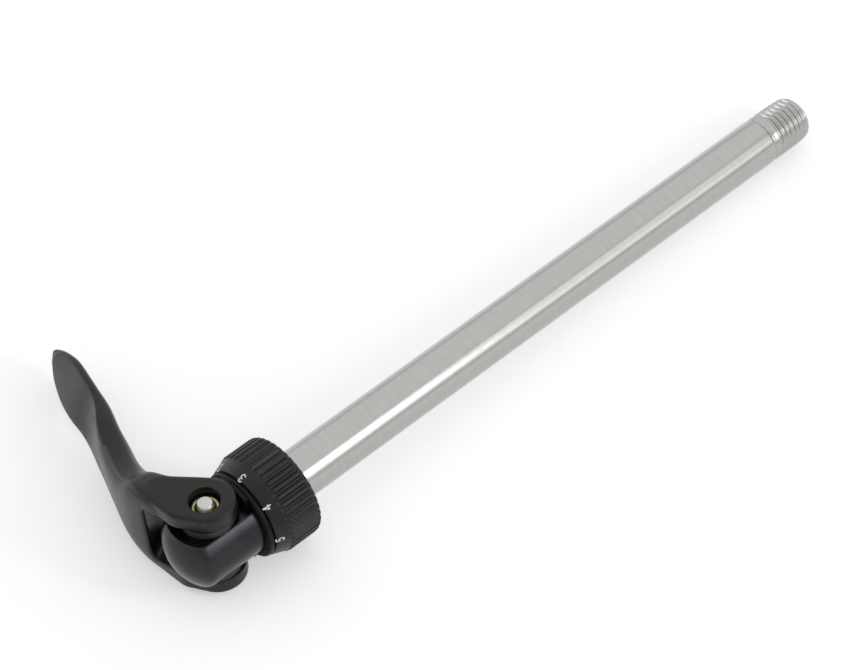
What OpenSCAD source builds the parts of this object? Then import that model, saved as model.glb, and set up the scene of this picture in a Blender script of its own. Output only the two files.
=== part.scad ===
// Bicycle rear thru axle with a cam lever and a numbered adjusting dial.
// Sizes are in millimetres. X runs along the axle towards its thread, Z along the lever's pin.
// The origin is the centre of the clamp face that presses on the frame. The lever is shown closed.

/* [Axle tube] */
// Outside diameter of the plain axle
axle_d = 12; // [11:0.5:15]
// Bore through the axle
axle_bore_d = 8; // [5:0.5:8.5]
// Clamp face to the threaded tip
axle_len = 167; // [120:1:220]
// Length of the threaded end with its chamfer
thread_len = 9.6; // [6:0.1:20]
// Outside diameter of the thread
thread_d = 11.9; // [9.5:0.1:14.9]
// Length of the relief groove before the thread
relief_len = 2.9; // [1:0.1:5]
// Diameter of the relief groove
relief_d = 11.1; // [9:0.1:14.5]
// Chamfer at the threaded tip
tip_chamfer = 1.1; // [0.3:0.1:2]
// Radial step from the plain axle to its end inside the head
spigot_step = 0.2; // [0.1:0.05:0.5]

/* [Head block] */
// Wall of the neck round the tube's end
neck_wall = 1.15; // [0.9:0.05:2]
// How far the head's side stands out over its neck
head_step = 2; // [1.8:0.1:3]
// Solid between the tube's end and each flat of the head
flats_wall = 0.65; // [0.4:0.05:1.5]
// Pin axis to the far end of the head
head_end = 10.7; // [8:0.1:14]
// Radius of the domed end
dome_r = 12.3; // [11:0.1:20]
// Radius where the dome meets the side
dome_corner_r = 2.6; // [1:0.1:4]
// Depth of the groove for the retaining ring
ring_groove = 0.5; // [0.3:0.05:0.7]
// Diameter of the pin that locks the tube in the head
lock_pin_d = 2.4; // [1.5:0.1:3]
// Solid left between the pivot bush and the tube
socket_wall = 0.9; // [0.5:0.1:2]

/* [Pivot] */
// Outside diameter of the pivot sleeve
sleeve_d = 7.2; // [6:0.1:9]
// Diameter of the rivet through the sleeve
rivet_d = 4.1; // [3:0.1:5]
// How far the sleeve ends lie below the ears' faces
sleeve_recess = 2.1; // [0.5:0.1:3.5]
// How far the rivet ends lie below the ears' faces
rivet_recess = 0.9; // [0.2:0.1:2]
// Wall of the bush in the head block
bush_wall = 0.6; // [0.4:0.1:1.5]
// Diameter of the washer between an ear and the head
ear_washer_d = 12.4; // [9:0.1:13]

/* [Lever] */
// Width over the two ears
fork_w = 25; // [22:0.5:30]
// Thickness of one ear
ear_t = 4.1; // [3:0.1:6]
// Radius of the cam at the end of each ear
cam_r = 6.6; // [6:0.05:9]
// Offset of the cam's centre from the pin, which makes its throw
cam_offset = 0.55; // [0.3:0.05:1]
// Radius of the ear's heel, behind the cam
heel_r = 5.75; // [5:0.05:5.8]
// Radius of the ear where it meets the arm
root_r = 3.9; // [3:0.1:4.5]
// Bevel round the outer face of an ear
ear_bevel = 0.9; // [0.3:0.1:1.5]
// Pin axis to the closed end of the slot between the ears
slot_r = 13.6; // [13:0.1:15]
// Radius in the corners of the slot
slot_corner_r = 1.8; // [0.5:0.1:3]
// Opening angle of the lever
lever_open_deg = 150; // [90:5:150]
// Stretches the arm and paddle along their length
lever_reach = 1; // [0.8:0.05:1.25]
// Stretches the arm and paddle across, along the pin
paddle_spread = 1; // [0.8:0.05:1.2]

/* [Dial] */
// Length of the dial
dial_len = 12.2; // [11:0.1:16]
// Length of the tapered number band
band_len = 3.3; // [2.5:0.1:5]
// Wall of the number band at its narrow end
band_wall = 0.9; // [0.6:0.1:2]
// How far the number band widens, in radius
band_rise = 1.2; // [0.5:0.1:2]
// How far the grip stands out over the band, in radius
grip_rise = 0.3; // [0.1:0.05:0.6]
// Chamfer at the clamp end of the grip
dial_chamfer = 1.3; // [0.5:0.1:2]
// Number positions in one turn
dial_steps = 8; // [4:1:12]
// Grip grooves for each number position
grooves_per_step = 5; // [2:1:6]
// Radius of a grip groove
groove_r = 0.55; // [0.4:0.05:1]
// Depth of a grip groove
groove_depth = 0.4; // [0.2:0.05:0.6]
// Wall of the dial round the clamp washer
clamp_rim = 1.26; // [0.8:0.02:2]
// Travel of the dial in one turn
dial_pitch = 0.75; // [0.5:0.05:1]

/* [Follower] */
// How far the follower's flange stands out over its sleeve
flange_lip = 0.65; // [0.4:0.05:1.5]
// Thickness of the follower's flange
flange_t = 0.9; // [0.8:0.1:2]
// Wall of the sleeve that carries the dial
hub_wall = 1.15; // [0.9:0.05:2]
// Height of the two pads that the cams press on
pad_t = 0.85; // [0.4:0.05:2]
// Width of a pad
pad_w = 9; // [6:0.5:12]
// Thickness of the inner shoulder that the spring pushes
shoulder_t = 0.9; // [0.6:0.1:1.5]

/* [Small pieces] */
// Thickness of the clamp washer's face
clamp_t = 0.9; // [0.8:0.1:1.5]
// Length of the clamp washer's hub inside the dial
clamp_hub_t = 1.25; // [1.1:0.05:2]
// Thickness of the lip that holds the clamp washer in the dial
clamp_lip_t = 0.3; // [0.2:0.05:0.6]
// How far the clamp washer's face stands out over its hub
clamp_shelf = 2; // [1:0.1:3]
// How far the clamp washer stands out of the dial
clamp_proud = 0.3; // [0.1:0.05:0.6]
// Radial grooves in the clamp face
clamp_teeth = 24; // [12:2:36]
// Depth of a radial groove
tooth_depth = 0.25; // [0.1:0.05:0.4]
// Width of a radial groove
tooth_w = 0.5; // [0.3:0.1:1]
// Wire diameter of the dust seal
seal_wire = 1; // [0.8:0.1:1.2]
// Wire diameter of the return spring
spring_wire = 0.7; // [0.5:0.05:0.8]
// Turns of the return spring
spring_turns = 2.6; // [2:0.1:3]
// Wire diameter of the detent spring
detent_wire = 0.7; // [0.5:0.05:0.7]
// Thickness of the retaining ring
ring_t = 0.8; // [0.6:0.1:1.2]

/* [Fits] */
// Radial clearance of a running fit
run_gap = 0.05; // [0.02:0.01:0.1]
// Radial clearance of the lever on its pivot
pivot_gap = 0.07; // [0.02:0.01:0.1]
// Gap between faces that slide past each other
face_gap = 0.1; // [0.05:0.05:0.2]
// Gap between the closed cam and the follower's pads
cam_gap = 0.2; // [0.15:0.05:0.4]

/* [Hidden] */
$fn = 96;
steel = "#b9bcc0";
black = "#262629";
eps = 0.01;

// Throw of the cam over the whole opening angle, which is the follower's stroke
stroke = cam_offset * (1 - cos(lever_open_deg));
// The dial can be screwed this far towards the follower and away from it
steps_in = 5;
steps_out = 2;
advance_in = dial_pitch * steps_in / dial_steps;
advance_out = dial_pitch * steps_out / dial_steps;

// Places along X, from the clamp face back to the head
dial_x1 = -clamp_proud;
dial_x0 = dial_x1 - dial_len;
dial_gap = advance_in + 0.08;
flange_x1 = dial_x0 - dial_gap;
flange_x0 = flange_x1 - flange_t;
pad_x = flange_x0 - pad_t;
pin_x = pad_x - cam_gap - cam_r - cam_offset;
head_x0 = pin_x - head_end;
clamp_x0 = -clamp_t - clamp_hub_t - clamp_lip_t;
neck_x1 = clamp_x0 - advance_in - stroke - face_gap * 2;
ring_shelf = 0.5;
ring_x0 = neck_x1 - ring_shelf - ring_t;
spring_len = spring_wire * (spring_turns + 1);
shoulder_x1 = ring_x0 - spring_len - face_gap;
shoulder_x0 = shoulder_x1 - shoulder_t;
key_x1 = shoulder_x0 - stroke - face_gap * 2;
hub_past_ring = 1;
stop_shelf = 0.5;
hub_x1 = ring_x0 + hub_past_ring;
stop_x = hub_x1 - stop_shelf - ring_t;
lock_pin_x = (key_x1 + flange_x0) / 2;

// Radii that fit to each other, from the axle outwards
spigot_r = axle_d / 2 - spigot_step;
neck_r = spigot_r + run_gap + neck_wall;
groove_r0 = neck_r - ring_groove;
ring_r = neck_r + 1;
head_r = neck_r + head_step;
flat_z = spigot_r + run_gap + flats_wall;
key_r = head_r + run_gap;
key_z = flat_z + run_gap;
hub_r = key_r + hub_wall;
stop_groove_r = hub_r - 0.45;
stop_ring_r = hub_r + 0.55;
flange_r = hub_r + flange_lip;
dial_bore_r = hub_r + run_gap;
relief_r = stop_ring_r + 0.2;
band_small_r = dial_bore_r + band_wall;
band_large_r = band_small_r + band_rise;
dial_r = band_large_r + grip_rise;
dial_end_r = dial_r - dial_chamfer * 0.8;
clamp_r = dial_end_r - clamp_rim - run_gap;
clamp_hub_r = clamp_r - clamp_shelf;
clamp_bore_r = axle_d / 2 + 0.1;

// Places of the pivot, the fork and the small parts
bush_r = sleeve_d / 2 + pivot_gap + bush_wall;
socket_x0 = pin_x + bush_r + run_gap + socket_wall;
ear_z0 = fork_w / 2 - ear_t;
relief_x0 = stop_x - advance_out - face_gap * 2;
detent_x = dial_x0 + 0.62 * band_len;
seal_x = -clamp_t - clamp_hub_t / 2;

// Thread end
thread_x0 = axle_len - thread_len;
relief_x = thread_x0 - relief_len;
relief_step = (axle_d - relief_d) / 2;

// Turns a profile of [radius, x] points round the X axis.
module turned(points) {
    rotate([0, 90, 0]) rotate_extrude() polygon(points);
}

// A ring round the X axis.
module tube_x(r0, r1, x0, x1) {
    turned([[r0, x0], [r1, x0], [r1, x1], [r0, x1]]);
}

// A round bar along X, Y or Z that is centred on the origin.
module bar_z(r, len) {
    cylinder(r = r, h = len, center = true);
}

// Points of an arc round c, from angle a0 to a1.
function arc(c, r, a0, a1, steps) =
    [for (i = [0:steps]) let (a = a0 + (a1 - a0) * i / steps) [c[0] + r * cos(a), c[1] + r * sin(a)]];

// Smooth value through a list of numbers at position t, counted in list steps.
function spline(v, t) =
    let (n = len(v) - 1, i = min(floor(t), n - 1), f = t - i,
         a = v[max(i - 1, 0)], b = v[i], c = v[i + 1], d = v[min(i + 2, n)])
    b + f * (c - a) / 2 + f * f * (a - 2.5 * b + 2 * c - d / 2) + f * f * f * (1.5 * (b - c) + (d - a) / 2);

// Joins rings of equal length into a closed skin.
module skin(rings) {
    n = len(rings[0]);
    last = len(rings) - 1;
    faces = concat(
        [[for (j = [n - 1:-1:0]) j]],
        [for (i = [0:last - 1], j = [0:n - 1], k = [0, 1])
            let (a = i * n + j, b = i * n + (j + 1) % n)
            k == 0 ? [b + n, a + n, a] : [b, b + n, a]],
        [[for (j = [0:n - 1]) last * n + j]]);
    polyhedron(points = [for (r = rings) each r], faces = faces);
}

// Axle tube: threaded tip, relief groove, plain length, and the end that sits in the head.
module axle_tube() {
    color("#c4c2bd") difference() {
        turned([
            [axle_bore_d / 2, socket_x0 + run_gap],
            [spigot_r - 0.4, socket_x0 + run_gap],
            [spigot_r, socket_x0 + run_gap + 0.4],
            [spigot_r, 0],
            [axle_d / 2, 0],
            [axle_d / 2, relief_x - relief_step],
            [relief_d / 2, relief_x],
            [relief_d / 2, thread_x0 - 0.4],
            [thread_d / 2, thread_x0],
            [thread_d / 2, axle_len - tip_chamfer],
            [thread_d / 2 - tip_chamfer, axle_len],
            [axle_bore_d / 2 + 0.4, axle_len],
            [axle_bore_d / 2, axle_len - 0.4]]);
        translate([lock_pin_x, 0, 0]) bar_z(lock_pin_d / 2 + run_gap / 2, axle_d * 2);
    }
}

// Outline of the head block: dome, side with flats, and the neck for the retaining ring.
function head_profile() =
    let (side = head_r,
         inner = side - dome_corner_r,
         reach = sqrt(pow(dome_r - dome_corner_r, 2) - inner * inner),
         dome_x = head_x0 + dome_r,
         a = atan2(inner, reach))
    concat([[0, head_x0]],
        [for (p = arc([0, 0], dome_r, 0, a, 6)) [p[1], dome_x - p[0]]],
        [for (p = arc([reach, inner], dome_corner_r, a, 90, 5)) [p[1], dome_x - p[0]]],
        [[side, key_x1], [neck_r, key_x1], [neck_r, ring_x0], [groove_r0, ring_x0],
         [groove_r0, ring_x0 + ring_t], [neck_r, ring_x0 + ring_t], [neck_r, neck_x1],
         [0, neck_x1]]);

module head_block() {
    color(black) difference() {
        turned(head_profile());
        for (side = [-1, 1])
            translate([(head_x0 + key_x1) / 2, 0, side * (flat_z + head_r)])
                cube([key_x1 - head_x0 + eps, head_r * 4, head_r * 2], center = true);
        translate([pin_x, 0, 0]) bar_z(bush_r + run_gap, head_r * 2);
        translate([lock_pin_x, 0, 0]) bar_z(lock_pin_d / 2 + run_gap / 2, head_r * 2);
        tube_x(0, spigot_r + run_gap, socket_x0, neck_x1 + eps);
    }
}

// Pin through the head and the tube's end.
module lock_pin() {
    color(steel) translate([lock_pin_x, 0, 0]) bar_z(lock_pin_d / 2, flat_z * 2 - 0.4);
}

// Hollow pin that the lever turns on.
module pivot_sleeve() {
    color("#a49a5c") translate([pin_x, 0, 0]) difference() {
        bar_z(sleeve_d / 2, fork_w - 2 * sleeve_recess);
        bar_z(rivet_d / 2 + run_gap / 2, fork_w);
    }
}

// Bright rivet through the pivot sleeve, with bevelled ends.
module pivot_rivet() {
    end_z = fork_w / 2 - rivet_recess;
    bevel = 0.35;
    color("#d2d2d4") translate([pin_x, 0, 0]) rotate_extrude()
        polygon([[0, -end_z], [rivet_d / 2 - bevel, -end_z], [rivet_d / 2, bevel - end_z],
                 [rivet_d / 2, end_z - bevel], [rivet_d / 2 - bevel, end_z], [0, end_z]]);
}

// Plain bearing in the head block.
module pivot_bush() {
    color("#a9834a") translate([pin_x, 0, 0]) difference() {
        bar_z(bush_r, flat_z * 2);
        bar_z(sleeve_d / 2 + pivot_gap, flat_z * 2 + 1);
    }
}

// Washer that fills the space between an ear and the head's flat.
module ear_washer(side) {
    washer_t = ear_z0 - flat_z - 2 * run_gap;
    color(black) translate([pin_x, 0, side * (flat_z + run_gap + washer_t / 2)])
        difference() {
            bar_z(ear_washer_d / 2, washer_t);
            bar_z(sleeve_d / 2 + pivot_gap, washer_t + 1);
        }
}

module ear_washer_upper() {
    ear_washer(1);
}

module ear_washer_lower() {
    ear_washer(-1);
}

// Spring that holds the follower back against the cams.
module return_spring() {
    coil_r = neck_r + run_gap + spring_wire / 2 + 0.25;
    sides = 8;
    steps = 22;
    rise = spring_len - spring_wire;
    count = ceil(spring_turns * steps);
    color(steel) translate([shoulder_x1 + face_gap / 2 + spring_wire / 2, 0, 0]) rotate([0, 90, 0])
        skin([for (i = [0:count])
            let (a = 360 * spring_turns * i / count)
            [for (j = [0:sides - 1])
                let (b = 360 * j / sides, r = coil_r + spring_wire / 2 * cos(b))
                [r * cos(a), r * sin(a), rise * i / count + spring_wire / 2 * sin(b)]]]);
}

// Open ring in the neck's groove.
module retaining_ring() {
    gap_deg = 40;
    color(steel) translate([ring_x0 + run_gap / 2, 0, 0]) rotate([0, 90, 0])
        rotate_extrude(angle = 360 - gap_deg)
            translate([groove_r0 + run_gap, 0]) square([ring_r - groove_r0 - run_gap, ring_t - run_gap]);
}

// The arm's shape at each station, counted from the pin axis:
// [middle x, middle y, middle z, heading, thickness, half height, twist, squareness]
arm_stations = [
    [-1.8, 5, 0, 99, 12.2, 12.2, 0, 7],
    [-4.3, 10.2, 0, 93, 9.6, 12.2, 0, 6],
    [-5.2, 15.7, -0.35, 86, 8.8, 11.6, 0, 4.5],
    [-4.6, 20.6, -1.2, 78, 8.6, 10, 0, 3.6],
    [-3, 26.5, -1, 74, 8, 8.2, 0, 3],
    [-0.8, 33, -0.4, 71, 7.2, 7.4, 2, 3],
    [1.35, 40, 0.6, 71, 5.7, 7.5, 6, 3.4],
    [3.5, 46.8, 1.15, 72, 4.1, 8.3, 10, 4.4],
    [5.35, 53.8, 0.95, 74, 3.2, 8.9, 12, 5],
    [7.1, 60.3, 0.3, 75, 2.8, 8.1, 13, 4.4],
    [8.5, 65.3, -0.4, 74, 2.6, 5.9, 12, 3.4],
    [9.4, 68.6, -0.6, 74, 2.3, 3.7, 11, 2.8],
    [9.9, 70.1, -0.6, 74, 1.4, 1.9, 11, 2.4]];

// One closed outline of the arm at position t, as a rounded rectangle turned to its heading.
function arm_ring(t, sides) =
    let (s = [for (k = [0:7]) spline([for (row = arm_stations) row[k]], t)],
         past = max(0, s[1] - slot_r),
         spread = 1 + (paddle_spread - 1) * min(1, past / slot_r),
         y0 = s[1] + past * (lever_reach - 1))
    [for (j = [0:sides - 1])
        let (b = 360 * j / sides,
             e = 2 / s[7],
             across = sign(cos(b)) * pow(abs(cos(b)), e) * s[4] / 2,
             up = sign(sin(b)) * pow(abs(sin(b)), e) * s[5] * spread,
             n = across * cos(s[6]) + up * sin(s[6]),
             z = s[2] + up * cos(s[6]) - across * sin(s[6]))
        [s[0] + n * sin(s[3]), y0 - n * cos(s[3]), z]];

// Arm from the fork to the tip of the paddle.
module arm() {
    steps = 44;
    last = len(arm_stations) - 1;
    skin([for (i = [0:steps]) arm_ring(last * i / steps, 40)]);
}

// One ear, from its inner face up: the cam, the heel behind it and the root of the arm.
module ear() {
    hull() {
        for (step = [[0, ear_t - ear_bevel], [ear_bevel, ear_t]]) {
            translate([cam_offset, 0, 0]) cylinder(r = cam_r - step[0], h = step[1], $fn = 64);
            translate([-2.4, 3.6, 0]) cylinder(r = heel_r - step[0], h = step[1], $fn = 48);
            translate([-4.6, 10.2, 0]) cylinder(r = root_r - step[0], h = step[1], $fn = 32);
        }
    }
}

// Forged lever: a fork with two cam ears, a round-rooted slot, an arm and a paddle.
module lever() {
    color(black) translate([pin_x, 0, 0]) difference() {
        union() {
            arm();
            translate([0, 0, ear_z0]) ear();
            mirror([0, 0, 1]) translate([0, 0, ear_z0]) ear();
        }
        rotate_extrude() polygon(concat([[0, -ear_z0]],
            arc([slot_r - slot_corner_r, slot_corner_r - ear_z0], slot_corner_r, -90, 0, 4),
            arc([slot_r - slot_corner_r, ear_z0 - slot_corner_r], slot_corner_r, 0, 90, 4),
            [[0, ear_z0]]));
        bar_z(sleeve_d / 2 + pivot_gap, fork_w + 2);
    }
}

// Shape of the keyed hole that stops the follower from turning on the head.
module key_hole(x0, x1) {
    intersection() {
        tube_x(0, key_r, x0, x1);
        translate([(x0 + x1) / 2, 0, 0]) cube([x1 - x0 + 1, key_r * 4, 2 * key_z], center = true);
    }
}

// Follower: flange with two cam pads, and a sleeve that carries the dial.
module follower() {
    rim = 0.3;
    flute_r = 0.8;
    flute_depth = 0.3;
    color(black) difference() {
        union() {
            turned([[0, flange_x0], [flange_r - rim, flange_x0], [flange_r, flange_x0 + rim],
                    [flange_r, flange_x1], [hub_r, flange_x1], [hub_r, stop_x],
                    [stop_groove_r, stop_x], [stop_groove_r, stop_x + ring_t], [hub_r, stop_x + ring_t],
                    [hub_r, hub_x1], [0, hub_x1]]);
            intersection() {
                tube_x(0, flange_r - rim, pad_x, flange_x0 + eps);
                translate([pad_x, 0, 0]) cube([pad_t * 4, pad_w, flange_r * 2], center = true);
            }
        }
        key_hole(pad_x - 1, shoulder_x0);
        tube_x(0, neck_r + face_gap, pad_x, hub_x1);
        tube_x(0, key_r, shoulder_x1, hub_x1 + eps);
        for (i = [0:dial_steps - 1])
            rotate([90 + i * 360 / dial_steps, 0, 0])
                translate([detent_x, hub_r + flute_r - flute_depth, 0]) rotate([0, 90, 0])
                    bar_z(flute_r, detent_wire * 3);
    }
}

// Ring that stops the dial at the end of its thread.
module dial_stop_ring() {
    gap_deg = 30;
    r0 = stop_groove_r + run_gap;
    color(steel) translate([stop_x + run_gap / 2, 0, 0]) rotate([0, 90, 0])
        rotate_extrude(angle = 360 - gap_deg)
            translate([r0, 0]) square([stop_ring_r - r0, ring_t - run_gap]);
}

// Numbered dial: tapered number band, ridged grip, and a pocket for the clamp washer.
module adjusting_dial() {
    grip_x0 = dial_x0 + band_len;
    grip_blend = 0.4;
    pocket_x = -clamp_t - face_gap / 2;
    pocket_r = clamp_r + run_gap;
    web_x0 = pocket_x - clamp_hub_t + face_gap;
    web_r = clamp_hub_r + run_gap;
    detent_r = dial_bore_r + detent_wire + face_gap * 2;
    detent_half = detent_wire * 0.7;
    grooves = dial_steps * grooves_per_step;
    groove_len = dial_len - band_len + 1;
    color(black) difference() {
        turned([
            [dial_bore_r, dial_x0],
            [band_small_r, dial_x0],
            [band_large_r, grip_x0],
            [dial_r, grip_x0 + grip_blend],
            [dial_r, dial_x1 - dial_chamfer],
            [dial_end_r, dial_x1],
            [pocket_r, dial_x1],
            [pocket_r, pocket_x],
            [web_r, pocket_x],
            [web_r, web_x0],
            [relief_r, web_x0],
            [relief_r, relief_x0],
            [dial_bore_r, relief_x0]]);
        tube_x(0, detent_r, detent_x - detent_half, detent_x + detent_half);
        for (i = [0:grooves - 1])
            rotate([(i + 0.5) * 360 / grooves, 0, 0])
                translate([(grip_x0 + dial_x1) / 2, dial_r + groove_r - groove_depth, 0])
                    rotate([0, 90, 0]) cylinder(r = groove_r, h = groove_len, center = true, $fn = 24);
    }
}

// Open wire ring that clicks over the sleeve's flutes.
module detent_spring() {
    bump_r = detent_wire / 2 + 0.08;
    wire_r = detent_wire / 2;
    color(steel) translate([detent_x, 0, 0]) rotate([0, 90, 0]) {
        rotate_extrude(angle = 310)
            translate([dial_bore_r + run_gap + wire_r, 0]) circle(r = wire_r, $fn = 24);
        rotate([0, 0, 180]) translate([hub_r + 0.06 + bump_r, 0, 0]) sphere(r = bump_r, $fn = 32);
    }
}

// Toothed steel washer that presses on the frame while the dial turns behind it.
module clamp_washer() {
    lip = 0.25;
    bevel = 0.2;
    lip_x = clamp_x0 + clamp_lip_t;
    seal_groove_r = clamp_bore_r + seal_wire - 0.15;
    seal_half = seal_wire * 0.55;
    color(steel) difference() {
        turned([
            [clamp_bore_r, clamp_x0],
            [clamp_hub_r + lip, clamp_x0],
            [clamp_hub_r + lip, lip_x],
            [clamp_hub_r, lip_x],
            [clamp_hub_r, -clamp_t],
            [clamp_r, -clamp_t],
            [clamp_r, -bevel],
            [clamp_r - bevel, 0],
            [clamp_bore_r, 0]]);
        tube_x(0, seal_groove_r, seal_x - seal_half, seal_x + seal_half);
        for (i = [0:clamp_teeth - 1])
            rotate([(i + 0.5) * 360 / clamp_teeth, 0, 0])
                translate([0, clamp_hub_r + clamp_r, 0])
                    cube([2 * tooth_depth, clamp_r * 2, tooth_w], center = true);
    }
}

// Rubber ring between the clamp washer and the axle.
module dust_seal() {
    mean_r = clamp_bore_r + seal_wire / 2 - 0.2;
    color("#1b1b1b") translate([seal_x, 0, 0]) rotate([0, 90, 0])
        rotate_extrude() translate([mean_r, 0]) circle(d = seal_wire, $fn = 24);
}

axle_tube();
head_block();
lock_pin();
pivot_sleeve();
pivot_rivet();
pivot_bush();
ear_washer_upper();
ear_washer_lower();
return_spring();
retaining_ring();
lever();
follower();
dial_stop_ring();
adjusting_dial();
detent_spring();
clamp_washer();
dust_seal();
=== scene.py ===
import math

import bmesh
import bpy
import numpy as np
from mathutils import Matrix, Vector


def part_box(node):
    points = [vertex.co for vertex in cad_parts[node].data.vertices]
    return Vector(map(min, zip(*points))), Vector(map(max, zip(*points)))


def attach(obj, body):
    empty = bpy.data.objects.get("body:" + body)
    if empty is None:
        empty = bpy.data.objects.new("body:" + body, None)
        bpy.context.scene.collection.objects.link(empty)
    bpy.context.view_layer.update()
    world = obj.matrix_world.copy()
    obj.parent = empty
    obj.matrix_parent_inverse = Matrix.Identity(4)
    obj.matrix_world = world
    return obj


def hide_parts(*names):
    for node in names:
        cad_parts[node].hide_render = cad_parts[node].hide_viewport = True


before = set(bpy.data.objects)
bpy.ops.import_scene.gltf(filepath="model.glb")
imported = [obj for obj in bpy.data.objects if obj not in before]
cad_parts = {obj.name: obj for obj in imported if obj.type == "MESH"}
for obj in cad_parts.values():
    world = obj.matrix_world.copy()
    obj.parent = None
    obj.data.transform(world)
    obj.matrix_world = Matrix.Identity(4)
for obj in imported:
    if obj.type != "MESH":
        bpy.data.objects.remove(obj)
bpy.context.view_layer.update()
MM = 0.001
# How far one round of smoothing moves a point towards its neighbours
SMOOTH_SHARE = 0.5


# Places read from the frame

def node_box(name):
    low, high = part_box(name)
    return [v / MM for v in low], [v / MM for v in high]


RIVET_LOW, RIVET_HIGH = node_box("pivot_rivet")
DIAL_LOW, DIAL_HIGH = node_box("adjusting_dial")
TUBE_LOW, TUBE_HIGH = node_box("axle_tube")
HEAD_LOW, HEAD_HIGH = node_box("head_block")
LOCK_LOW, LOCK_HIGH = node_box("lock_pin")
PIN_X = (RIVET_LOW[0] + RIVET_HIGH[0]) / 2
LOCK_X = (LOCK_LOW[0] + LOCK_HIGH[0]) / 2


# Mesh helpers

def make_object(name, points, faces):
    mesh = bpy.data.meshes.new(name)
    mesh.from_pydata((np.asarray(points, float) * MM).tolist(), [], faces)
    obj = bpy.data.objects.new(name, mesh)
    bpy.context.scene.collection.objects.link(obj)
    return obj


def stack(rings):
    """Points and faces of a capped skin over rings that have the same number of points."""
    rings = np.asarray(rings, float)
    count, n = rings.shape[0], rings.shape[1]
    faces = []
    for i in range(count - 1):
        for j in range(n):
            a, b = i * n + j, i * n + (j + 1) % n
            faces.append((a, b, b + n, a + n))
    faces.append(tuple(range(n - 1, -1, -1)))
    faces.append(tuple((count - 1) * n + j for j in range(n)))
    return rings.reshape(-1, 3), faces


def lathe(profile, sides):
    """A closed profile of (x, r) points turned round the X axis. r may be a function of the angle."""
    rings = []
    for j in range(sides):
        a = 2 * math.pi * j / sides
        ring = []
        for x, r in profile:
            value = r(a) if callable(r) else r
            ring.append((x, value * math.cos(a), value * math.sin(a)))
        rings.append(ring)
    rings = np.asarray(rings)
    n, m = rings.shape[0], rings.shape[1]
    faces = []
    for i in range(n):
        for j in range(m):
            k, l = (i + 1) % n, (j + 1) % m
            faces.append((i * m + j, k * m + j, k * m + l, i * m + l))
    return rings.reshape(-1, 3), faces


def face_out(obj):
    bm = bmesh.new()
    bm.from_mesh(obj.data)
    bmesh.ops.recalc_face_normals(bm, faces=bm.faces)
    bm.to_mesh(obj.data)
    bm.free()


def bake(obj):
    """Applies the object's modifiers."""
    deps = bpy.context.evaluated_depsgraph_get()
    deps.update()
    new = bpy.data.meshes.new_from_object(obj.evaluated_get(deps))
    old = obj.data
    obj.modifiers.clear()
    obj.data = new
    new.name = obj.name
    bpy.data.meshes.remove(old)


def remesh(obj, voxel, rounds):
    """One closed skin with softened edges: the more rounds, the wider the fillets."""
    mod = obj.modifiers.new("remesh", "REMESH")
    mod.mode = "VOXEL"
    mod.voxel_size = voxel * MM
    smooth = obj.modifiers.new("smooth", "SMOOTH")
    smooth.factor = SMOOTH_SHARE
    smooth.iterations = rounds
    bake(obj)


def cut(obj, tool):
    """Takes the tool's shape out of the object."""
    mod = obj.modifiers.new("cut", "BOOLEAN")
    mod.operation = "DIFFERENCE"
    mod.solver = "EXACT"
    mod.object = tool
    bake(obj)
    mesh = tool.data
    bpy.data.objects.remove(tool)
    bpy.data.meshes.remove(mesh)


def join(target, *others):
    bm = bmesh.new()
    bm.from_mesh(target.data)
    for other in others:
        bm.from_mesh(other.data)
        mesh = other.data
        bpy.data.objects.remove(other)
        bpy.data.meshes.remove(mesh)
    bm.to_mesh(target.data)
    bm.free()


def shade(obj, angle=40):
    """Smooth shading that keeps edges sharper than the angle."""
    bm = bmesh.new()
    bm.from_mesh(obj.data)
    limit = math.radians(angle)
    for face in bm.faces:
        face.smooth = True
    for edge in bm.edges:
        edge.smooth = len(edge.link_faces) < 2 or edge.calc_face_angle(0) < limit
    bm.to_mesh(obj.data)
    bm.free()


def spline(table, t):
    """Catmull-Rom value of each column at position t, counted in rows."""
    table = np.asarray(table, float)
    n = len(table) - 1
    i = min(int(math.floor(t)), n - 1)
    f = t - i
    a, b, c, d = table[max(i - 1, 0)], table[i], table[i + 1], table[min(i + 2, n)]
    bend = a - 2.5 * b + 2 * c - d / 2
    twist = 1.5 * (b - c) + (d - a) / 2
    return b + f * (c - a) / 2 + f * f * bend + f ** 3 * twist


def smoothstep(low, high, v):
    t = np.clip((v - low) / (high - low), 0, 1)
    return t * t * (3 - 2 * t)


# Camera

scene = bpy.context.scene
scene.view_settings.view_transform = "Standard"
camera_data = bpy.data.cameras.new("camera")
camera = bpy.data.objects.new("camera", camera_data)
scene.collection.objects.link(camera)
scene.camera = camera
CAM_X = Vector((0.73460756, -0.67478449, -0.07083521))
CAM_Y = Vector((0.52307875, 0.49675218, 0.69255028))
CAM_Z = Vector((-0.43213464, -0.54580506, 0.71788333))
CAM_PLACE = Vector((-246.75573531, -367.55206994, 497.63672756)) * MM
camera.matrix_world = Matrix.Translation(CAM_PLACE) @ Matrix((CAM_X, CAM_Y, CAM_Z)).transposed().to_4x4()
SENSOR = 36
FOCAL_PIXELS = 2965.7
PHOTO_WIDTH = 855
camera_data.sensor_width = SENSOR
camera_data.lens = FOCAL_PIXELS / PHOTO_WIDTH * SENSOR
camera_data.clip_start = 0.01
camera_data.clip_end = 20


# Materials

def node_material(name):
    mat = bpy.data.materials.new(name)
    mat.use_nodes = True
    return mat, mat.node_tree.nodes, mat.node_tree.links, mat.node_tree.nodes["Principled BSDF"]


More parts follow.
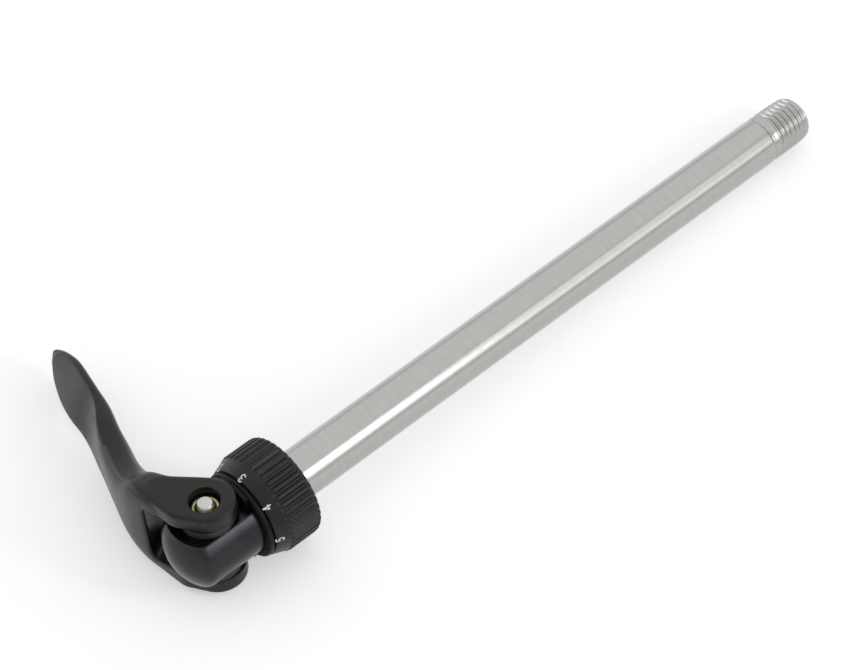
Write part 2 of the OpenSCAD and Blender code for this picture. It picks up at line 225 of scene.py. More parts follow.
def finish(name, color, rough, metallic=0.0, vary=0.15, grain=900.0, bump=0.02, bump_scale=2500.0,
           rough_vary=0.06, stretch=(1, 1, 1), wear=0.0, wear_color=(0.4, 0.4, 0.4, 1), specular=0.5):
    """A worked surface: slight colour change, uneven gloss, fine grain, and wear on raised edges."""
    mat, nodes, links, bsdf = node_material(name)
    bsdf.inputs["Metallic"].default_value = metallic
    bsdf.inputs["Specular IOR Level"].default_value = specular
    place = nodes.new("ShaderNodeTexCoord")
    scale = nodes.new("ShaderNodeMapping")
    scale.inputs["Scale"].default_value = stretch
    links.new(place.outputs["Object"], scale.inputs["Vector"])

    cloud = nodes.new("ShaderNodeTexNoise")
    cloud.inputs["Scale"].default_value = grain * 0.2
    cloud.inputs["Detail"].default_value = 4
    links.new(scale.outputs["Vector"], cloud.inputs["Vector"])
    ramp = nodes.new("ShaderNodeValToRGB")
    ramp.color_ramp.elements[0].position = 0.3
    ramp.color_ramp.elements[1].position = 0.7
    ramp.color_ramp.elements[0].color = [c * (1 - vary) for c in color[:3]] + [1]
    ramp.color_ramp.elements[1].color = [min(1, c * (1 + vary)) for c in color[:3]] + [1]
    links.new(cloud.outputs["Fac"], ramp.inputs["Fac"])
    colour_out = ramp.outputs["Color"]

    if wear:
        geometry = nodes.new("ShaderNodeNewGeometry")
        edge = nodes.new("ShaderNodeMapRange")
        # Pointiness is 0.5 on a flat place and higher on a raised edge
        edge.inputs["From Min"].default_value = 0.54
        edge.inputs["From Max"].default_value = 0.66
        links.new(geometry.outputs["Pointiness"], edge.inputs["Value"])
        patch = nodes.new("ShaderNodeTexNoise")
        patch.inputs["Scale"].default_value = grain
        patch.inputs["Detail"].default_value = 6
        links.new(scale.outputs["Vector"], patch.inputs["Vector"])
        spots = nodes.new("ShaderNodeMapRange")
        spots.inputs["From Min"].default_value = 0.45
        spots.inputs["From Max"].default_value = 0.62
        links.new(patch.outputs["Fac"], spots.inputs["Value"])
        both = nodes.new("ShaderNodeMath")
        both.operation = "MULTIPLY"
        links.new(edge.outputs["Result"], both.inputs[0])
        links.new(spots.outputs["Result"], both.inputs[1])
        amount = nodes.new("ShaderNodeMath")
        amount.operation = "MULTIPLY"
        amount.inputs[1].default_value = wear
        links.new(both.outputs["Value"], amount.inputs[0])
        mix = nodes.new("ShaderNodeMix")
        mix.data_type = "RGBA"
        mix.inputs["B"].default_value = wear_color
        links.new(amount.outputs["Value"], mix.inputs["Factor"])
        links.new(colour_out, mix.inputs["A"])
        colour_out = mix.outputs["Result"]
    links.new(colour_out, bsdf.inputs["Base Color"])

    gloss = nodes.new("ShaderNodeTexNoise")
    gloss.inputs["Scale"].default_value = grain * 0.5
    gloss.inputs["Detail"].default_value = 5
    links.new(scale.outputs["Vector"], gloss.inputs["Vector"])
    gloss_range = nodes.new("ShaderNodeMapRange")
    gloss_range.inputs["To Min"].default_value = rough - rough_vary
    gloss_range.inputs["To Max"].default_value = rough + rough_vary
    links.new(gloss.outputs["Fac"], gloss_range.inputs["Value"])
    links.new(gloss_range.outputs["Result"], bsdf.inputs["Roughness"])

    fine = nodes.new("ShaderNodeTexNoise")
    fine.inputs["Scale"].default_value = bump_scale
    fine.inputs["Detail"].default_value = 3
    links.new(scale.outputs["Vector"], fine.inputs["Vector"])
    relief = nodes.new("ShaderNodeBump")
    relief.inputs["Strength"].default_value = bump
    relief.inputs["Distance"].default_value = 0.0001
    links.new(fine.outputs["Fac"], relief.inputs["Height"])
    links.new(relief.outputs["Normal"], bsdf.inputs["Normal"])
    return mat


BLACK = (0.0085, 0.0085, 0.0083)
black_alloy = finish("black_alloy", BLACK, 0.33, vary=0.2, bump=0.25, wear=0.12, specular=0.3)
black_dial = finish("black_dial", BLACK, 0.36, vary=0.2, bump=0.35, wear=0.2, specular=0.3)
black_head = finish("black_head", (0.036, 0.037, 0.04), 0.26, metallic=1.0, vary=0.12, bump=0.15)
anodised_tube = finish("anodised_tube", (0.42, 0.418, 0.406), 0.22, metallic=1.0, vary=0.03, bump=0.06,
                       stretch=(4, 1, 1), rough_vary=0.03)
bare_steel = finish("bare_steel", (0.62, 0.62, 0.63), 0.28, metallic=1.0, vary=0.08, bump=0.1)
bright_rivet = finish("bright_rivet", (0.5, 0.5, 0.485), 0.34, metallic=1.0, vary=0.06, bump=0.1)
yellow_zinc = finish("yellow_zinc", (0.4, 0.38, 0.15), 0.24, metallic=1.0, vary=0.2, bump=0.1)
bearing_bronze = finish("bearing_bronze", (0.5, 0.36, 0.18), 0.4, metallic=1.0, vary=0.15, bump=0.2)
black_washer = finish("black_washer", (0.02, 0.02, 0.02), 0.55, bump=0.3)
# The follower is black, and darker than the other blacks: painted shade for the dark gap between the dial's
# band and the head
follower_black_painted_shade = finish("follower_black_painted_shade", (0.005, 0.005, 0.005), 0.5, vary=0.2, bump=0.2, specular=0.15)
seal_rubber = finish("seal_rubber", (0.016, 0.016, 0.016), 0.62, bump=0.4)
number_paint = finish("number_paint", (0.84, 0.84, 0.82), 0.5, vary=0.08, bump=0.2)


def dress(obj, mat):
    obj.data.materials.clear()
    obj.data.materials.append(mat)


def piece(obj, body, mat, slot, *nodes):
    """Finishes a piece: its material, its body and the CAD nodes that it stands for."""
    dress(obj, mat)
    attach(obj, body)
    if nodes:
        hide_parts(*nodes)


# Lever

# Stations of the arm: middle x, y and z from the pin, heading, thickness, half height, twist, squareness
ARM = [
    [-1.8, 5, 0, 99, 12.2, 12.2, 0, 7],
    [-4.3, 10.2, 0.1, 93, 9.6, 12.4, 0, 8],
    [-5.2, 15.7, -0.1, 86, 8.8, 11.8, 0, 5],
    [-4.6, 20.6, -1.2, 78, 8.6, 10, 0, 3.6],
    [-3, 26.5, -1, 74, 8, 8.2, 0, 3],
    [-0.8, 33, -0.4, 71, 7.2, 7.2, 4, 3],
    [1.3, 40, 0.6, 71, 5.4, 6.5, 14, 3.4],
    [3.3, 46.8, 1.1, 72, 3.7, 6.2, 24, 5],
    [5.0, 53.8, 0.8, 74, 3.1, 6.6, 26, 6],
    [7.0, 60.3, 0, 75, 2.8, 6.5, 24, 5],
    [8.4, 65.3, -0.6, 74, 2.5, 5.3, 20, 3.6],
    [9.2, 68.6, -0.7, 74, 2.3, 3.6, 16, 2.8],
    [9.5, 70.3, -0.6, 74, 1.5, 2.2, 14, 2.4],
]
# Columns of the table after the place
HEADING, THICK, HALF, TWIST, SQUARE = 3, 4, 5, 6, 7
# The lens section of the paddle: its squareness, and the share that its outer side gives up
LENS_SQUARE = 2.3
OUTER_LESS = 0.28
EAR_OUT = 12.5
EAR_IN = 8.4
EAR_BEVEL = 0.9
EAR_OVERLAP = 0.4
EAR_ROUND = [(0.55, 0, 6.6), (-2.4, 3.6, 5.75), (-4.6, 10.2, 3.9)]
SLOT_R = 14.5
SLOT_CORNER = 1.8
BORE_R = 3.67
PAD_RISE = 0.32
PAD_LOW_Y = 43.5
PAD_SLANT = 10.5
PAD_HIGH_Y = 69
PAD_END_ROUND = 2.6
PAD_SPAN = 0.93
# Voxel sizes of the two skins of the lever, and how many rounds each place is smoothed
FORGING_VOXEL = 0.26
FORGING_ROUNDS = 7
ROOT_ROUNDS = 30
LEVER_VOXEL = 0.25
LEVER_ROUNDS = 3
MOUTH_ROUNDS = 90
# Half length of a tool that cuts right through the lever, and radius that stands for its axis
THROUGH = 14
AXIS_R = 0.01


def arm_point(row, across, up):
    """Place of a point given across and along the height of the arm's section."""
    x, y, middle = row[:HEADING]
    heading, twist = math.radians(row[HEADING]), math.radians(row[TWIST])
    n = across * math.cos(twist) + up * math.sin(twist)
    z = middle + up * math.cos(twist) - across * math.sin(twist)
    return PIN_X + x + n * math.sin(heading), y - n * math.cos(heading), z


def paddle_share(y):
    """How much of the paddle's form the arm has taken on at y: 0 at the neck, 1 on the paddle."""
    return float(smoothstep(36, 50, y))


def outer_share(y):
    """Share of the thickness on the outer side of the arm's middle line."""
    return 0.5 - OUTER_LESS * paddle_share(y)


def arm_ring(t, sides=96):
    """Section of the arm, whose inner side bulges and whose outer side is nearly flat on the paddle."""
    row = spline(ARM, t)
    lens = paddle_share(row[1])
    outer = outer_share(row[1])
    ring = []
    for j in range(sides):
        c, s = math.cos(2 * math.pi * j / sides), math.sin(2 * math.pi * j / sides)
        square = row[SQUARE] + lens * (LENS_SQUARE - row[SQUARE]) if c > 0 else row[SQUARE]
        e = 2 / square
        share = 1 - outer if c > 0 else outer
        across = math.copysign(abs(c) ** e, c) * row[THICK] * share
        up = math.copysign(abs(s) ** e, s) * row[HALF]
        ring.append(arm_point(row, across, up))
    return ring


def raised_pad():
    """Flat raised face on the outer side of the paddle, with a slanting lower end."""
    places = np.linspace(0, len(ARM) - 1, 400)
    along = np.array([spline(ARM, t)[1] for t in places])
    rows, columns = 70, 44
    outer, inner = [], []
    for w in np.linspace(-PAD_SPAN, PAD_SPAN, columns):
        low = PAD_LOW_Y - PAD_SLANT * w / PAD_SPAN
        high = PAD_HIGH_Y - PAD_END_ROUND * abs(w) ** 3
        for y in np.linspace(low, high, rows):
            row = spline(ARM, float(np.interp(y, along, places)))
            settle = float(smoothstep(32, 50, y))
            square = row[SQUARE] + 0.6 + 2.4 * settle
            rise = PAD_RISE * float(smoothstep(low - 1, low + 8, y)) + 0.03
            depth = row[THICK] * outer_share(y) * (1 - abs(w) ** square) ** (1 / square)
            outer.append(arm_point(row, -depth - rise, w * row[HALF]))
            inner.append(arm_point(row, -depth + min(1.2, row[THICK] * 0.4), w * row[HALF]))
    count = rows * columns
    faces = []
    for i in range(columns - 1):
        for j in range(rows - 1):
            a, b = i * rows + j, (i + 1) * rows + j
            faces += [(a, b, b + 1, a + 1), (count + a, count + a + 1, count + b + 1, count + b)]
    edge = list(range(rows))
    edge += [i * rows + rows - 1 for i in range(1, columns)]
    edge += [(columns - 1) * rows + j for j in range(rows - 2, -1, -1)]
    edge += [i * rows for i in range(columns - 2, 0, -1)]
    for a, b in zip(edge, edge[1:] + edge[:1]):
        faces.append((a, b, count + b, count + a))
    pad = make_object("pad", outer + inner, faces)
    face_out(pad)
    return pad


def hull_outline(circles, inset, count=180):
    """Outline of the tight band round some circles, pulled in by inset."""
    points = []
    for k in range(count):
        a = 2 * math.pi * k / count
        u = (math.cos(a), math.sin(a))
        best = max(circles, key=lambda c: c[0] * u[0] + c[1] * u[1] + c[2])
        r = best[2] - inset
        points.append((PIN_X + best[0] + r * u[0], best[1] + r * u[1]))
    return points


def ear_plate(name, side):
    rings = []
    levels = [(EAR_IN - EAR_OVERLAP, 0)]
    for k in range(7):
        a = math.radians(15 * k)
        levels.append((EAR_OUT - EAR_BEVEL + EAR_BEVEL * math.sin(a), EAR_BEVEL * (1 - math.cos(a))))
    for z, inset in levels:
        rings.append([(x, y, z * side) for x, y in hull_outline(EAR_ROUND, inset)])
    points, faces = stack(rings)
    obj = make_object(name, points, faces)
    face_out(obj)
    return obj


def z_lathe(name, profile, sides=128):
    """A closed (r, z) profile turned round the pin's axis."""
    rings = []
    for r, z in profile:
        turns = [2 * math.pi * j / sides for j in range(sides)]
        rings.append([(PIN_X + r * math.cos(a), r * math.sin(a), z) for a in turns])
    points, faces = stack(rings)
    obj = make_object(name, points, faces)
    face_out(obj)
    return obj


def melt(obj, rounds, share):
    """Smooths the part of the skin where share(x, y, z) is above 0."""
    group = obj.vertex_groups.new(name="melt")
    for vertex in obj.data.vertices:
        weight = float(share(*(v / MM for v in vertex.co)))
        if weight > 0:
            group.add([vertex.index], weight, "REPLACE")
    soft = obj.modifiers.new("melt", "SMOOTH")
    soft.factor = SMOOTH_SHARE
    soft.iterations = rounds
    soft.vertex_group = group.name
    bake(obj)


def ear_roots(x, y, z):
    """Where the roots of the ears blend into the arm."""
    return smoothstep(6, 11, y) * (1 - smoothstep(19, 26, y)) * smoothstep(8, 10, abs(z))


def slot_mouth(x, y, z):
    """Where the slot breaks out of the arm's outer side."""
    off = math.hypot(x - PIN_X, y)
    ring = smoothstep(12.5, 14, off) * (1 - smoothstep(16.5, 19, off))
    return ring * (1 - smoothstep(9, 10.5, abs(z)))


def make_lever():
    steps = 170
    last = len(ARM) - 1
    points, faces = stack([arm_ring(last * i / steps) for i in range(steps + 1)])
    lever = make_object("lever_forging", points, faces)
    face_out(lever)
    join(lever, ear_plate("ear_a", 1), ear_plate("ear_b", -1))
    remesh(lever, FORGING_VOXEL, FORGING_ROUNDS)
    melt(lever, ROOT_ROUNDS, ear_roots)
    slot = [(AXIS_R, -EAR_IN)]
    for a in range(0, 91, 15):
        s, c = math.sin(math.radians(a)), math.cos(math.radians(a))
        slot.append((SLOT_R - SLOT_CORNER + SLOT_CORNER * s, -EAR_IN + SLOT_CORNER - SLOT_CORNER * c))
    slot += [(r, -z) for r, z in reversed(slot)]
    cut(lever, z_lathe("slot_tool", slot))
    join(lever, raised_pad())
    remesh(lever, LEVER_VOXEL, LEVER_ROUNDS)
    melt(lever, MOUTH_ROUNDS, slot_mouth)
    cut(lever, z_lathe("bore_tool", [(BORE_R, -THROUGH), (BORE_R, THROUGH)]))
    shade(lever, 50)
    return lever


lever = make_lever()
piece(lever, "lever", black_alloy, "black_alloy", "lever")


# Dial

BAND_X = DIAL_LOW[0]
GRIP_X = BAND_X + 3.3
DIAL_END = DIAL_HIGH[0]
BAND_SMALL_R = 11.15
BAND_LARGE_R = 12.35
GRIP_R = 12.65
CHAMFER = 1.3
RIDGES = 40
RIDGE_SIDES = 14
VALLEY = 0.6
DIAL_BORE_R = 10.25
# Pocket of the clamp washer, web behind it, room of the stop ring, and groove of the detent spring
POCKET_X = -0.95
POCKET_R = 10.35
WASHER_HUB_R = 8.35
WEB_X = -2.1
STOP_ROOM_X = -6.13
STOP_ROOM_R = 10.95
DETENT_GROOVE = (-10.94, -9.96)
DETENT_R = 11.15


def ridge_cut(a):
    """How far the grip's surface lies below a ridge: 0 on a ridge's narrow crest, 1 in a valley."""
    phase = (a * RIDGES / (2 * math.pi) + 0.5) % 1
    off = abs(phase - 0.5) * 2
    return float(smoothstep(0.16, 0.95, off))


def grip_radius(base, depth):
    return lambda a: base - depth * ridge_cut(a)


def band_radius(x):
    """Radius of the tapered number band at x."""
    return BAND_SMALL_R + (BAND_LARGE_R - BAND_SMALL_R) * (x - BAND_X) / (GRIP_X - BAND_X)


def dial_profile():
    """Closed outline from the bore at the number band, over the grip, and back through the pocket."""
    points = [(BAND_X, DIAL_BORE_R), (BAND_X, BAND_SMALL_R - 0.12), (BAND_X + 0.04, BAND_SMALL_R - 0.03),
              (BAND_X + 0.12, BAND_SMALL_R + 0.03)]
    for k in range(1, 9):
        x = BAND_X + 0.12 + (GRIP_X - 0.3 - BAND_X - 0.12) * k / 8
        points.append((x, band_radius(x)))
    for k in range(1, 11):
        x = GRIP_X - 0.3 + 0.1 * k
        base = BAND_LARGE_R - 0.1 + (GRIP_R - BAND_LARGE_R + 0.1) * float(smoothstep(0, 8, k))
        points.append((x, grip_radius(base, VALLEY * float(smoothstep(0, 8, k)))))
    for k in range(1, 9):
        x = GRIP_X + 0.7 + (DIAL_END - CHAMFER - GRIP_X - 0.7) * k / 8
        points.append((x, grip_radius(GRIP_R, VALLEY)))
    for k in range(1, 9):
        a = math.radians(90 * k / 8)
        x = DIAL_END - CHAMFER + CHAMFER * math.sin(a)
        base = GRIP_R - CHAMFER * 0.8 * (1 - math.cos(a))
        points.append((x, grip_radius(base, VALLEY * (1 - k / 8) ** 0.7)))
    points += [(DIAL_END, POCKET_R + 0.1), (DIAL_END - 0.1, POCKET_R), (POCKET_X, POCKET_R),
               (POCKET_X, WASHER_HUB_R), (WEB_X, WASHER_HUB_R), (WEB_X, STOP_ROOM_R),
               (STOP_ROOM_X, STOP_ROOM_R), (STOP_ROOM_X, DIAL_BORE_R)]
    low, high = DETENT_GROOVE
    points += [(high, DIAL_BORE_R), (high, DETENT_R), (low, DETENT_R), (low, DIAL_BORE_R)]
    return points


points, faces = lathe(dial_profile(), RIDGES * RIDGE_SIDES)
dial = make_object("dial_grip", points, faces)
face_out(dial)
shade(dial, 48)
piece(dial, "dial", black_dial, "black_alloy", "adjusting_dial")


# Numbers

# Strokes of each figure, as points (right, up) in a cell 1 wide and 2 high
FIGURES = {
    1: [[(0.25, 1.6), (0.6, 2), (0.6, 0)]],
    2: [[(0.05, 1.55), (0.2, 1.88), (0.5, 2), (0.8, 1.88), (0.95, 1.5), (0.82, 1.1), (0.05, 0), (0.97, 0)]],
    3: [[(0.06, 1.75), (0.3, 1.98), (0.65, 1.98), (0.92, 1.75), (0.9, 1.35), (0.62, 1.1), (0.4, 1.08)],
        [(0.62, 1.1), (0.93, 0.85), (0.98, 0.45), (0.75, 0.06), (0.35, 0), (0.03, 0.28)]],
    4: [[(0.74, 0), (0.74, 2), (0.02, 0.58), (1.02, 0.58)]],
    5: [[(0.9, 2), (0.2, 2), (0.1, 1.1), (0.5, 1.25), (0.85, 1.08), (0.97, 0.6), (0.8, 0.12), (0.4, 0),
         (0.03, 0.25)]],
    6: [[(0.85, 1.85), (0.55, 2), (0.22, 1.8), (0.05, 1.2), (0.03, 0.6), (0.18, 0.12), (0.5, 0), (0.85, 0.14),
         (0.97, 0.6), (0.82, 1.05), (0.5, 1.18), (0.15, 1)]],
    7: [[(0.03, 2), (0.95, 2), (0.4, 0)]],
    8: [[(0.5, 1.08), (0.16, 1.3), (0.14, 1.75), (0.5, 2), (0.86, 1.75), (0.84, 1.3), (0.5, 1.08),
         (0.08, 0.8), (0.05, 0.25), (0.5, 0), (0.95, 0.25), (0.92, 0.8), (0.5, 1.08)]],
}
FIGURE_W = 0.95
FIGURE_H = 0.9
FIGURE_X = BAND_X + 1.6
FIGURE_A = 91.8
TOP_FIGURE = 3
FIGURE_STEP = 45
STROKE = 0.14
PAINT_TOP = 0.035
PAINT_ROOT = -0.05


def band_point(u, v, turn, lift):
    """Place on the number band of a point (u right, v up) of a figure, in millimetres."""
    x = FIGURE_X - v
    r = band_radius(x) + lift
    a = math.radians(turn) - u / r
    return x, r * math.cos(a), r * math.sin(a)


def stroke(p, q, turn):
    """Points and faces of one painted stroke with round ends."""
    heading = math.atan2(q[1] - p[1], q[0] - p[0])
    outline = []
    for centre, start in ((q, -90), (p, 90)):
        for k in range(7):
            a = heading + math.radians(start + 30 * k)
            outline.append((centre[0] + STROKE * math.cos(a), centre[1] + STROKE * math.sin(a)))
    n = len(outline)
    points = [band_point(u, v, turn, lift) for lift in (PAINT_TOP, PAINT_ROOT) for u, v in outline]
    faces = [tuple(range(n)), tuple(range(2 * n - 1, n - 1, -1))]
    faces += [(j, (j + 1) % n, n + (j + 1) % n, n + j) for j in range(n)]
    return points, faces


def make_figures():
    points, faces = [], []
    for figure, lines in FIGURES.items():
        turn = FIGURE_A + (figure - TOP_FIGURE) * FIGURE_STEP
        for line in lines:
            line = [((u - 0.5) * FIGURE_W, v * FIGURE_H) for u, v in line]
            for p, q in zip(line, line[1:]):
                more_points, more_faces = stroke(p, q, turn)
                faces += [tuple(len(points) + k for k in face) for face in more_faces]
                points += more_points
    figures = make_object("dial_figures", points, faces)
    face_out(figures)
    return figures


figures = make_figures()
piece(figures, "dial", number_paint, None)


# Axle tube

TIP_X = TUBE_HIGH[0]
THREAD_X = TIP_X - 11.1
NOTCH_X = TIP_X - 12.5
AXLE_R = 6
SPIGOT_R = 5.8
THREAD_R = 5.95
THREAD_PITCH = 1.5
THREAD_DEPTH = 0.6
AXLE_BORE_R = 4
TIP_LENGTH = 2
TIP_ROUND = 2.3
TIP_TAPER = 0.2
LOCK_HOLE_R = 1.225
LOCK_REACH = 9


def thread_radius(x):
    """Radius of the threaded end at x, which follows a helix."""
    fade = float(smoothstep(THREAD_X, THREAD_X + 0.8, x))
    round_off = max(0.0, x - (TIP_X - TIP_LENGTH))
    lead_in = TIP_TAPER * float(smoothstep(TIP_X - 6, TIP_X - 1, x))
    tip = THREAD_R - lead_in - TIP_ROUND * (1 - math.sqrt(max(0.0, 1 - (round_off / TIP_ROUND) ** 2)))

    def radius(a):
        phase = ((x - THREAD_X) / THREAD_PITCH + a / (2 * math.pi)) % 1
        slope = abs(phase - 0.5) * 2
        groove = float(smoothstep(0.1, 0.8, slope))
        return min(tip, THREAD_R - THREAD_DEPTH * fade * groove)
    return radius


def lock_hole():
    """Tool that cuts the lock pin's hole across the axle and the head."""
    tool = z_lathe("lock_tool", [(LOCK_HOLE_R, -LOCK_REACH), (LOCK_HOLE_R, LOCK_REACH)], 32)
    tool.location.x = (LOCK_X - PIN_X) * MM
    return tool


def tube_profile():
    low = TUBE_LOW[0]
    points = [(low, AXLE_BORE_R), (low, SPIGOT_R - 0.4), (low + 0.4, SPIGOT_R), (0, SPIGOT_R), (0, AXLE_R)]
    points += [(NOTCH_X * k / 12, AXLE_R) for k in range(1, 12)]
    points += [(NOTCH_X - 0.95, AXLE_R), (NOTCH_X - 0.75, AXLE_R - 0.03), (NOTCH_X - 0.15, AXLE_R - 0.42),
               (NOTCH_X, AXLE_R - 0.47), (NOTCH_X + 0.15, AXLE_R - 0.42), (NOTCH_X + 0.6, AXLE_R - 0.18),
               (NOTCH_X + 0.8, AXLE_R - 0.13), (THREAD_X - 0.1, AXLE_R - 0.13)]
    count = 120
    for k in range(count + 1):
        x = THREAD_X + (TIP_X - THREAD_X) * k / count
        points.append((x, thread_radius(x)))
    points += [(TIP_X, AXLE_BORE_R + 0.35), (TIP_X - 0.35, AXLE_BORE_R)]
    return points


points, faces = lathe(tube_profile(), 144)
tube = make_object("threaded_tube", points, faces)
face_out(tube)
shade(tube, 42)
cut(tube, lock_hole())
shade(tube, 42)
piece(tube, "axle", anodised_tube, "anodised_tube", "axle_tube")


# Head block

HEAD_R = 9
FLAT_Z = 6.5
DOME_R = 12.3
DOME_CORNER = 2.6
NECK_R = 7
KEY_X = -10.19
NECK_X = HEAD_HIGH[0]
RING_X = -5.445
RING_DEPTH = 0.5
RING_WIDTH = 0.8
SOCKET_R = 5.85
SOCKET_X = -16.93
HEAD_AXIS_R = 0.02
PIN_HOLE_R = 4.32
HEAD_VOXEL = 0.2
HEAD_ROUNDS = 3
# How far the tools that cut the flats reach past the end, sideways and outwards
FLAT_PAST = 2
FLAT_HALF = 12
FLAT_DEEP = 6


def head_outline():
    inner = HEAD_R - DOME_CORNER
    reach = math.sqrt((DOME_R - DOME_CORNER) ** 2 - inner ** 2)
    dome_x = HEAD_LOW[0] + DOME_R
    turn = math.atan2(inner, reach)
    points = [(HEAD_LOW[0], HEAD_AXIS_R)]
    for k in range(1, 13):
        a = turn * k / 12
        points.append((dome_x - DOME_R * math.cos(a), DOME_R * math.sin(a)))
    for k in range(1, 11):
        a = turn + (math.pi / 2 - turn) * k / 10
        points.append((dome_x - reach - DOME_CORNER * math.cos(a), inner + DOME_CORNER * math.sin(a)))
    groove_r, groove_end = NECK_R - RING_DEPTH, RING_X + RING_WIDTH
    points += [(KEY_X, HEAD_R), (KEY_X, NECK_R), (RING_X, NECK_R), (RING_X, groove_r), (groove_end, groove_r),
               (groove_end, NECK_R), (NECK_X, NECK_R), (NECK_X, SOCKET_R), (SOCKET_X, SOCKET_R),
               (SOCKET_X, HEAD_AXIS_R)]
    return points


points, faces = lathe(head_outline(), 160)
head = make_object("domed_head", points, faces)
face_out(head)
for side in (-1, 1):
    end_x = HEAD_LOW[0] - FLAT_PAST
    corners = ((end_x, -FLAT_HALF), (KEY_X, -FLAT_HALF), (KEY_X, FLAT_HALF), (end_x, FLAT_HALF))
    plate = [[(x, y, side * z) for x, y in corners] for z in (FLAT_Z, FLAT_Z + FLAT_DEEP)]
    points, faces = stack(plate)
    tool = make_object("flat_tool", points, faces)
    face_out(tool)
    cut(head, tool)
remesh(head, HEAD_VOXEL, HEAD_ROUNDS)
cut(head, z_lathe("pin_tool", [(PIN_HOLE_R, -HEAD_R), (PIN_HOLE_R, HEAD_R)], 96))
cut(head, lock_hole())
shade(head, 50)
piece(head, "axle", black_head, "black_alloy", "head_block")


# Pivot sleeve

SLEEVE_LOW, SLEEVE_HIGH = node_box("pivot_sleeve")
SLEEVE_R = (SLEEVE_HIGH[0] - SLEEVE_LOW[0]) / 2
SLEEVE_BORE_R = (RIVET_HIGH[0] - RIVET_LOW[0]) / 2 + 0.02
ROLL_DROP = 0.75


def rolled_sleeve():
    """Sleeve of the cross pin, whose ends are rolled over into a rounded rim."""
    middle, half = (SLEEVE_R + SLEEVE_BORE_R) / 2, (SLEEVE_R - SLEEVE_BORE_R) / 2
    profile = []
    for side, level in ((1, SLEEVE_HIGH[2]), (-1, SLEEVE_LOW[2])):
        for k in range(11):
            a = math.pi * k / 10
            profile.append((level - side * ROLL_DROP * (1 - math.sin(a)), middle - side * half * math.cos(a)))
    points, faces = lathe(profile, 128)
    return make_object("rolled_sleeve", [(PIN_X + p[1], p[2], p[0]) for p in points], faces)


sleeve = rolled_sleeve()
face_out(sleeve)
shade(sleeve, 50)
piece(sleeve, "axle", yellow_zinc, "yellow_zinc", "pivot_sleeve")


# Carried nodes

NODE_FINISH = {
    "axle_tube": anodised_tube,
    "head_block": black_head,
    "lock_pin": bare_steel,
    "pivot_sleeve": yellow_zinc,
    "pivot_rivet": bright_rivet,
    "pivot_bush": bearing_bronze,
    "ear_washer_upper": black_washer,
    "ear_washer_lower": black_washer,
    "return_spring": bare_steel,
    "retaining_ring": bare_steel,
    "follower": follower_black_painted_shade,
    "dial_stop_ring": bare_steel,
    "adjusting_dial": black_dial,
    "detent_spring": bare_steel,
    "clamp_washer": bare_steel,
    "dust_seal": seal_rubber,
    "lever": black_alloy,
}
for name, mat in NODE_FINISH.items():
    dress(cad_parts[name], mat)
for name, width in (("follower", 0.12), ("pivot_rivet", 0.15)):
    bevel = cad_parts[name].modifiers.new("edge", "BEVEL")
    bevel.width = width * MM
    bevel.segments = 3
    bevel.limit_method = "ANGLE"
    bevel.angle_limit = math.radians(35)


# Floor, light and background

def showing_rays(nodes, links):
    """A value that is 1 on the rays that show the background: camera, glossy and transmission rays."""
    path = nodes.new("ShaderNodeLightPath")
    value = path.outputs["Is Camera Ray"]
    for ray in ("Is Glossy Ray", "Is Transmission Ray"):
        both = nodes.new("ShaderNodeMath")
        both.operation = "ADD"
        both.use_clamp = True
        links.new(value, both.inputs[0])
        links.new(path.outputs[ray], both.inputs[1])
        value = both.outputs["Value"]
    return value


# Upward direction and one point of the plane that the axle lies on
REST_UP = (-0.04, -0.09237, 0.99492)
REST_POINT = (-1.6, 1.979, -12.494)
FLOOR_REACH = 1500
# Brightness of the floor and the world to the rays that show them, and of the world to the others
FLOOR_GLOW = 0.4
WORLD_WHITE = 1.0
WORLD_LIGHT = 0.4


def rest_height(x, y):
    """Height of the plane that the axle rests on, with its tip, its dial and its lower ear."""
    dx, dy = x - REST_POINT[0], y - REST_POINT[1]
    return REST_POINT[2] - (REST_UP[0] * dx + REST_UP[1] * dy) / REST_UP[2]


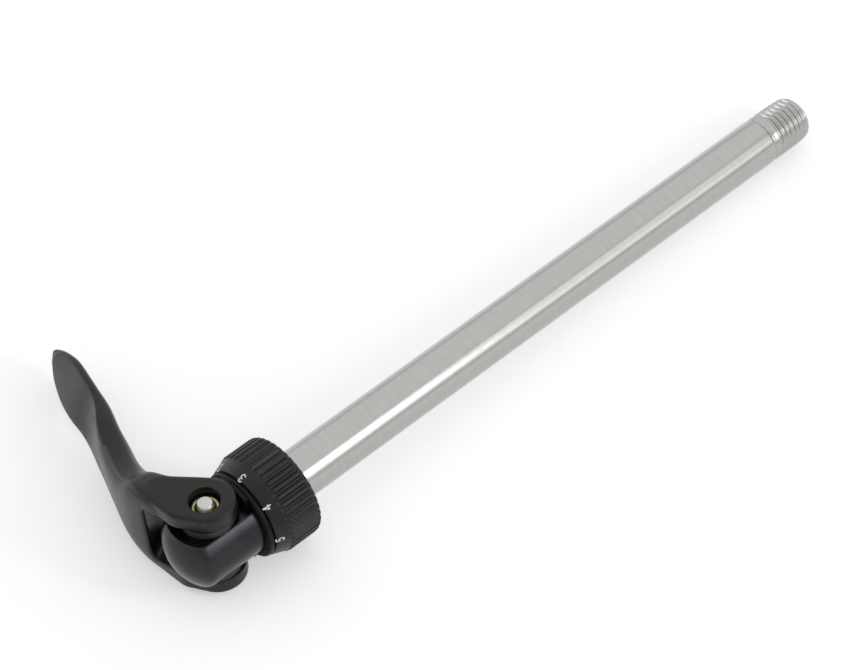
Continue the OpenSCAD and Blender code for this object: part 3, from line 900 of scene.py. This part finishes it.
floor_points = []
for side_x, side_y in ((-1, -1), (1, -1), (1, 1), (-1, 1)):
    x, y = side_x * FLOOR_REACH, side_y * FLOOR_REACH
    floor_points.append((x, y, rest_height(x, y)))
floor = make_object("floor", floor_points, [(0, 1, 2, 3)])
floor_mat, floor_nodes, floor_links, floor_bsdf = node_material("floor")
floor_bsdf.inputs["Base Color"].default_value = (0.9, 0.9, 0.9, 1)
floor_bsdf.inputs["Roughness"].default_value = 0.9
floor_bsdf.inputs["Specular IOR Level"].default_value = 0.1
glow = floor_nodes.new("ShaderNodeEmission")
glow.inputs["Strength"].default_value = FLOOR_GLOW
dark = floor_nodes.new("ShaderNodeEmission")
dark.inputs["Strength"].default_value = 0.0
pick = floor_nodes.new("ShaderNodeMixShader")
floor_links.new(showing_rays(floor_nodes, floor_links), pick.inputs["Fac"])
floor_links.new(dark.outputs["Emission"], pick.inputs[1])
floor_links.new(glow.outputs["Emission"], pick.inputs[2])
total = floor_nodes.new("ShaderNodeAddShader")
floor_links.new(floor_bsdf.outputs["BSDF"], total.inputs[0])
floor_links.new(pick.outputs["Shader"], total.inputs[1])
floor_links.new(total.outputs["Shader"], floor_nodes["Material Output"].inputs["Surface"])
floor.data.materials.append(floor_mat)

world = bpy.data.worlds.new("world")
scene.world = world
world.use_nodes = True
world_nodes, world_links = world.node_tree.nodes, world.node_tree.links
light_back = world_nodes["Background"]
light_back.inputs["Color"].default_value = (1, 1, 1, 1)
light_back.inputs["Strength"].default_value = WORLD_LIGHT
white_back = world_nodes.new("ShaderNodeBackground")
white_back.inputs["Strength"].default_value = WORLD_WHITE
world_pick = world_nodes.new("ShaderNodeMixShader")
world_links.new(showing_rays(world_nodes, world_links), world_pick.inputs["Fac"])
world_links.new(light_back.outputs["Background"], world_pick.inputs[1])
world_links.new(white_back.outputs["Background"], world_pick.inputs[2])
world_links.new(world_pick.outputs["Shader"], world_nodes["World Output"].inputs["Surface"])


def softbox(name, place, aim, size, radiance):
    """A soft lamp of a given size, in metres, and brightness."""
    data = bpy.data.lights.new(name, "AREA")
    data.shape = "RECTANGLE"
    data.size, data.size_y = size
    data.energy = radiance * 4 * size[0] * size[1]
    obj = bpy.data.objects.new(name, data)
    scene.collection.objects.link(obj)
    obj.location = place
    obj.rotation_euler = (Vector(aim) - Vector(place)).to_track_quat("-Z", "Y").to_euler()
    return obj


softbox("ceiling", (0.3, 0.45, 1.1), (0.05, 0.2, 0), (2.6, 2.8), 0.25)
softbox("low_strip", (0.42, -0.92, 0.3), (0.05, 0, 0), (1.2, 0.22), 0.85)
softbox("high_wall", (0.4, -0.85, 0.62), (0.05, 0, 0), (1.3, 0.36), 0.55)
softbox("back_wall", (-0.5, 0.9, 0.18), (-0.03, 0.04, 0), (1.0, 0.35), 1.3)
softbox("head_glint", (0.19, -0.39, 0.24), (-0.02, 0, 0), (0.06, 0.15), 7)
